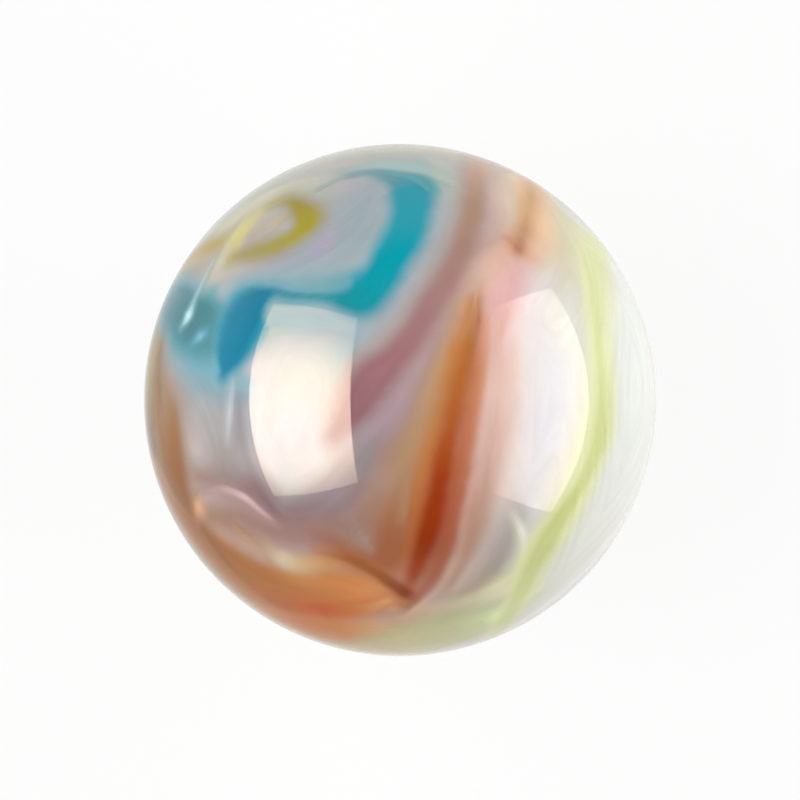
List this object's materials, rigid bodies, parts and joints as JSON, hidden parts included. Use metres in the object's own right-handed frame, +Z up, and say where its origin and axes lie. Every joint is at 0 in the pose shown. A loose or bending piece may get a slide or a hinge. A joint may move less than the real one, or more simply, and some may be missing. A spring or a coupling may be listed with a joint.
{
  "type": "glass marble",
  "caption": "Solid glass ball for marble games, milky glass with swirled colour veins and a pearly lustre; rolls freely and rests in any round seat.",
  "frame": {"origin": "centre of the ball", "axes": "+Z up, through the side with the large swirl that the picture looks down on; +Y towards the top of the picture and +X to its right"},
  "size_m": [0.025, 0.025, 0.025],
  "materials": {
    "swirl_glass": "gloss"
  },
  "bodies": {
    "root": {"marble": "swirl_glass"}
  },
  "joints": []
}
